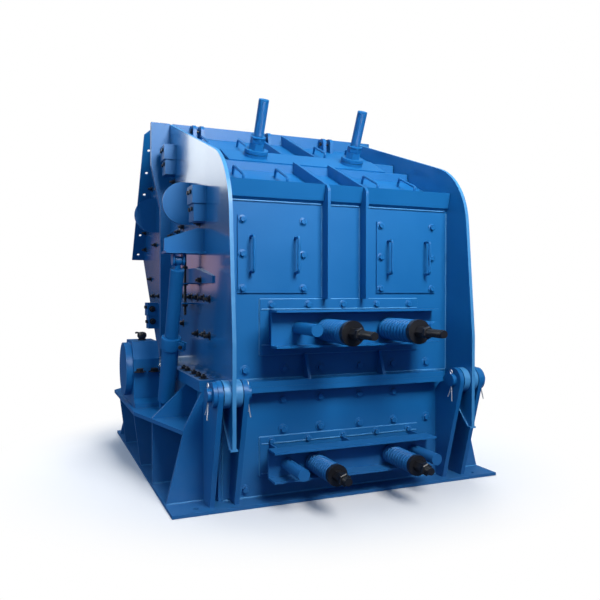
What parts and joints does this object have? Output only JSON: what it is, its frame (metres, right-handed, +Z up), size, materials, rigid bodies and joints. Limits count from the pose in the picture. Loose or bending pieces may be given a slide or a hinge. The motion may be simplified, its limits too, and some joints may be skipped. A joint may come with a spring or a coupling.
{
  "type": "hammer crusher",
  "caption": "Horizontal-shaft hammer crusher with a rear casing that tilts open on two hinges, sprung aprons, bearing shelves, side jacks and a slanted feed opening.",
  "frame": {"origin": "middle of the base plate's four anchor holes, on the plate's underside", "axes": "+X along the rotor towards its driven end, +Y towards the feed opening, +Z up"},
  "size_m": [2.636, 3.5868, 2.7376],
  "materials": {
    "blue_paint": "glossy blue machine paint",
    "black_paint": "semi-gloss black paint",
    "cast_steel": "rough cast manganese steel",
    "shaft_steel": "turned steel"
  },
  "bodies": {
    "base": {"base_plate": "blue_paint", "base_side_walls": "blue_paint", "base_rear_wall": "blue_paint", "base_front_wall": "blue_paint", "base_split_flange": "blue_paint", "bearing_shelf_left": "blue_paint", "bearing_shelf_right": "blue_paint", "jack_feet": "blue_paint", "hinge_lugs": "blue_paint", "hinge_pins": "blue_paint", "bearing_bases": "blue_paint", "bearing_caps": "blue_paint", "bearing_covers": "blue_paint", "front_side_plates": "blue_paint", "front_top_plate": "blue_paint", "front_split_flange": "blue_paint", "inlet_flange": "blue_paint", "feed_plate": "blue_paint", "front_lifting_ears": "blue_paint", "lower_backing_plate": "blue_paint", "lower_channel": "blue_paint", "lower_springs": "blue_paint", "lower_spring_rods": "black_paint", "lower_guide_bars": "blue_paint", "lower_apron": "cast_steel"},
    "rotor": {"rotor_shaft": "shaft_steel", "rotor_body": "cast_steel", "blow_bars": "cast_steel"},
    "rear_casing": {"rear_side_plate_left": "blue_paint", "rear_side_plate_right": "blue_paint", "rear_wall": "blue_paint", "rear_top_plate": "blue_paint", "rear_ribs": "blue_paint", "rear_split_flange": "blue_paint", "rear_bottom_flange": "blue_paint", "access_doors": "blue_paint", "door_handles": "blue_paint", "upper_backing_plate": "blue_paint", "upper_channel": "blue_paint", "upper_springs": "blue_paint", "upper_spring_rods": "black_paint", "upper_guide_bars": "blue_paint", "screw_mount": "blue_paint", "adjusting_screws": "blue_paint", "top_handles": "blue_paint", "jack_brackets": "blue_paint", "rear_lifting_ears": "blue_paint", "upper_apron": "cast_steel", "rear_apron": "cast_steel"},
    "jack_barrel_left": {"jack_barrel_left": "blue_paint"},
    "jack_barrel_right": {"jack_barrel_right": "blue_paint"},
    "jack_tube_left": {"jack_tube_left": "blue_paint"},
    "jack_tube_right": {"jack_tube_right": "blue_paint"}
  },
  "joints": [
    {"name": "casing_hinge", "type": "hinge", "parent": "base", "child": "rear_casing", "pos_m": [0, -1.287, 0.708], "axis": [1, 0, 0], "range_deg": [0, 45]},
    {"name": "rotor_spin", "type": "hinge", "parent": "base", "child": "rotor", "pos_m": [0, 0.155, 0.712], "axis": [1, 0, 0], "continuous": true},
    {"name": "jack_foot_left", "type": "hinge", "parent": "base", "child": "jack_barrel_left", "pos_m": [-1.005, -0.3, 0.5], "axis": [1, 0, 0], "range_deg": [0, 22]},
    {"name": "jack_head_left", "type": "hinge", "parent": "rear_casing", "child": "jack_tube_left", "pos_m": [-1.005, -0.725, 1.5], "axis": [1, 0, 0], "range_deg": [-24, 0]},
    {"name": "jack_foot_right", "type": "hinge", "parent": "base", "child": "jack_barrel_right", "pos_m": [1.005, -0.3, 0.5], "axis": [1, 0, 0], "range_deg": [0, 22]},
    {"name": "jack_head_right", "type": "hinge", "parent": "rear_casing", "child": "jack_tube_right", "pos_m": [1.005, -0.725, 1.5], "axis": [1, 0, 0], "range_deg": [-24, 0]}
  ],
  "couplings": [
    {"joint": "jack_foot_left", "follows": "casing_hinge", "ratio": 0.4796},
    {"joint": "jack_head_left", "follows": "casing_hinge", "ratio": -0.5204},
    {"joint": "jack_foot_right", "follows": "casing_hinge", "ratio": 0.4796},
    {"joint": "jack_head_right", "follows": "casing_hinge", "ratio": -0.5204}
  ]
}
